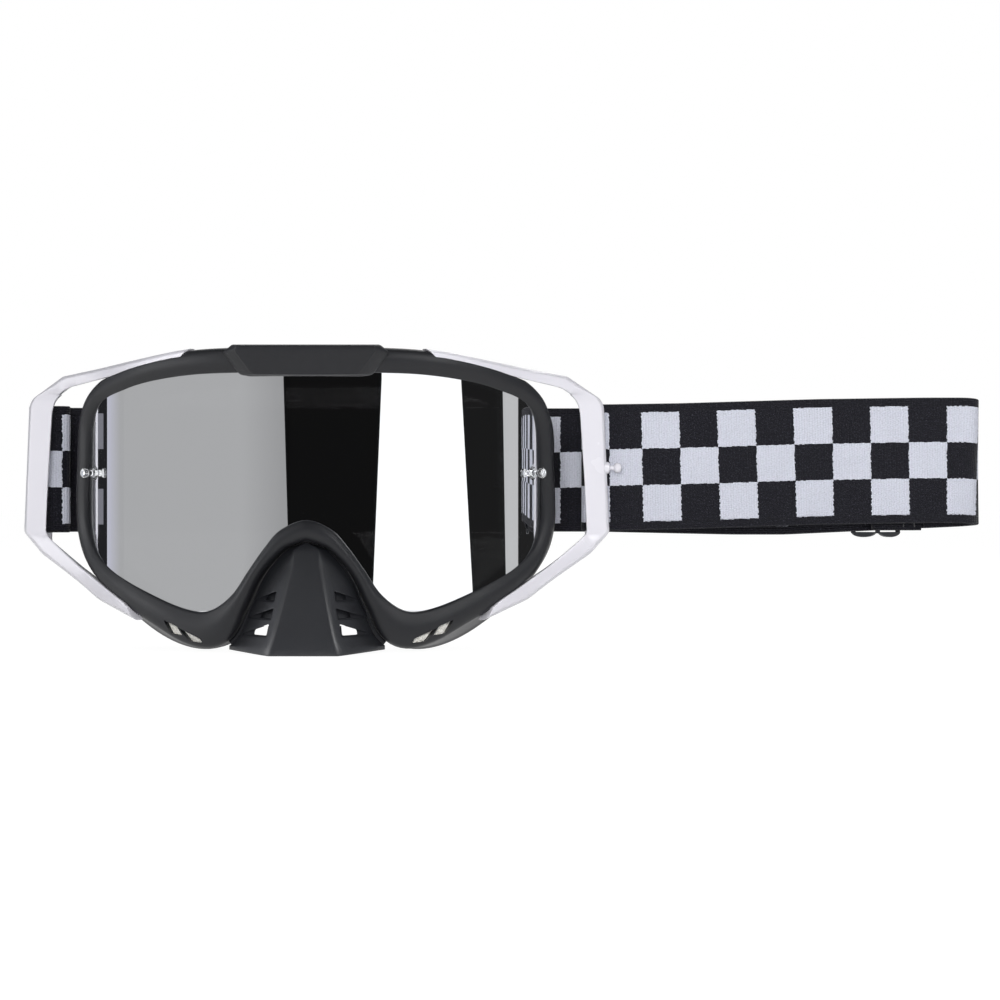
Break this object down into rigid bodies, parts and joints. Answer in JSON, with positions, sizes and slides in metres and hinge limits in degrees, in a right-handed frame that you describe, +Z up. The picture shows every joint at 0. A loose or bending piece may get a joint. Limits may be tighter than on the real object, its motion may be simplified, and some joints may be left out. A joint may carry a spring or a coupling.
{
  "type": "motocross goggles",
  "caption": "Off-road riding goggles with a cylindrical mirror lens, outrigger strap arms, a vented nose guard and a folded checked elastic strap.",
  "frame": {"origin": "on the floor, in the flat foot of the nose guard on the middle plane", "axes": "+X to the right as seen from the front and along the folded strap, +Y towards the wearer, +Z up"},
  "size_m": [0.342, 0.0972, 0.1037],
  "materials": {
    "rim_black": "matte moulded, fine grain",
    "mirror_lens": "silver mirror, slightly see-through",
    "clear_post": "clear polished",
    "washer": "matte",
    "gloss_white": "glossy cool white",
    "guard_black": "matte moulded, fine grain",
    "foam_firm": "open foam",
    "foam_soft": "open foam",
    "fleece": "brushed fleece",
    "filter_dark": "open foam",
    "filter_cream": "open foam",
    "webbing": "woven checks, black and white",
    "slider_grey": "semi-gloss dark grey",
    "silicone": "translucent silicone"
  },
  "bodies": {
    "goggles": {"frame": "rim_black", "lens": "mirror_lens", "post_left": "clear_post", "post_right": "clear_post", "post_washer_left": "washer", "post_washer_right": "washer", "outrigger_left": "gloss_white", "outrigger_right": "gloss_white", "foam_base": "foam_firm", "foam_mid": "foam_soft", "foam_face": "fleece", "top_vent_filter": "filter_dark", "bottom_vent_filter_left": "filter_cream", "bottom_vent_filter_right": "filter_cream", "strap_webbing": "webbing", "strap_tail_left": "webbing", "strap_tail_right": "webbing", "strap_slack_left": "webbing", "strap_slack_right": "webbing", "grip_beads": "silicone"},
    "nose_guard": {"nose_guard": "guard_black"},
    "slider_left_body": {"slider_left": "slider_grey", "strap_end_left": "webbing"},
    "slider_right_body": {"slider_right": "slider_grey", "strap_end_right": "webbing"}
  },
  "joints": [
    {"name": "nose_guard_pull", "type": "slide", "parent": "goggles", "child": "nose_guard", "axis": [0, -1, 0], "range_m": [0, 0.03]},
    {"name": "slider_left_slide", "type": "slide", "parent": "goggles", "child": "slider_left_body", "axis": [1, 0, 0], "range_m": [-0.03, 0.02], "deforming": ["strap_slack_left"]},
    {"name": "slider_right_slide", "type": "slide", "parent": "goggles", "child": "slider_right_body", "axis": [-0.9989, 0, -0.047], "range_m": [-0.005, 0.02], "deforming": ["strap_slack_right"]}
  ]
}
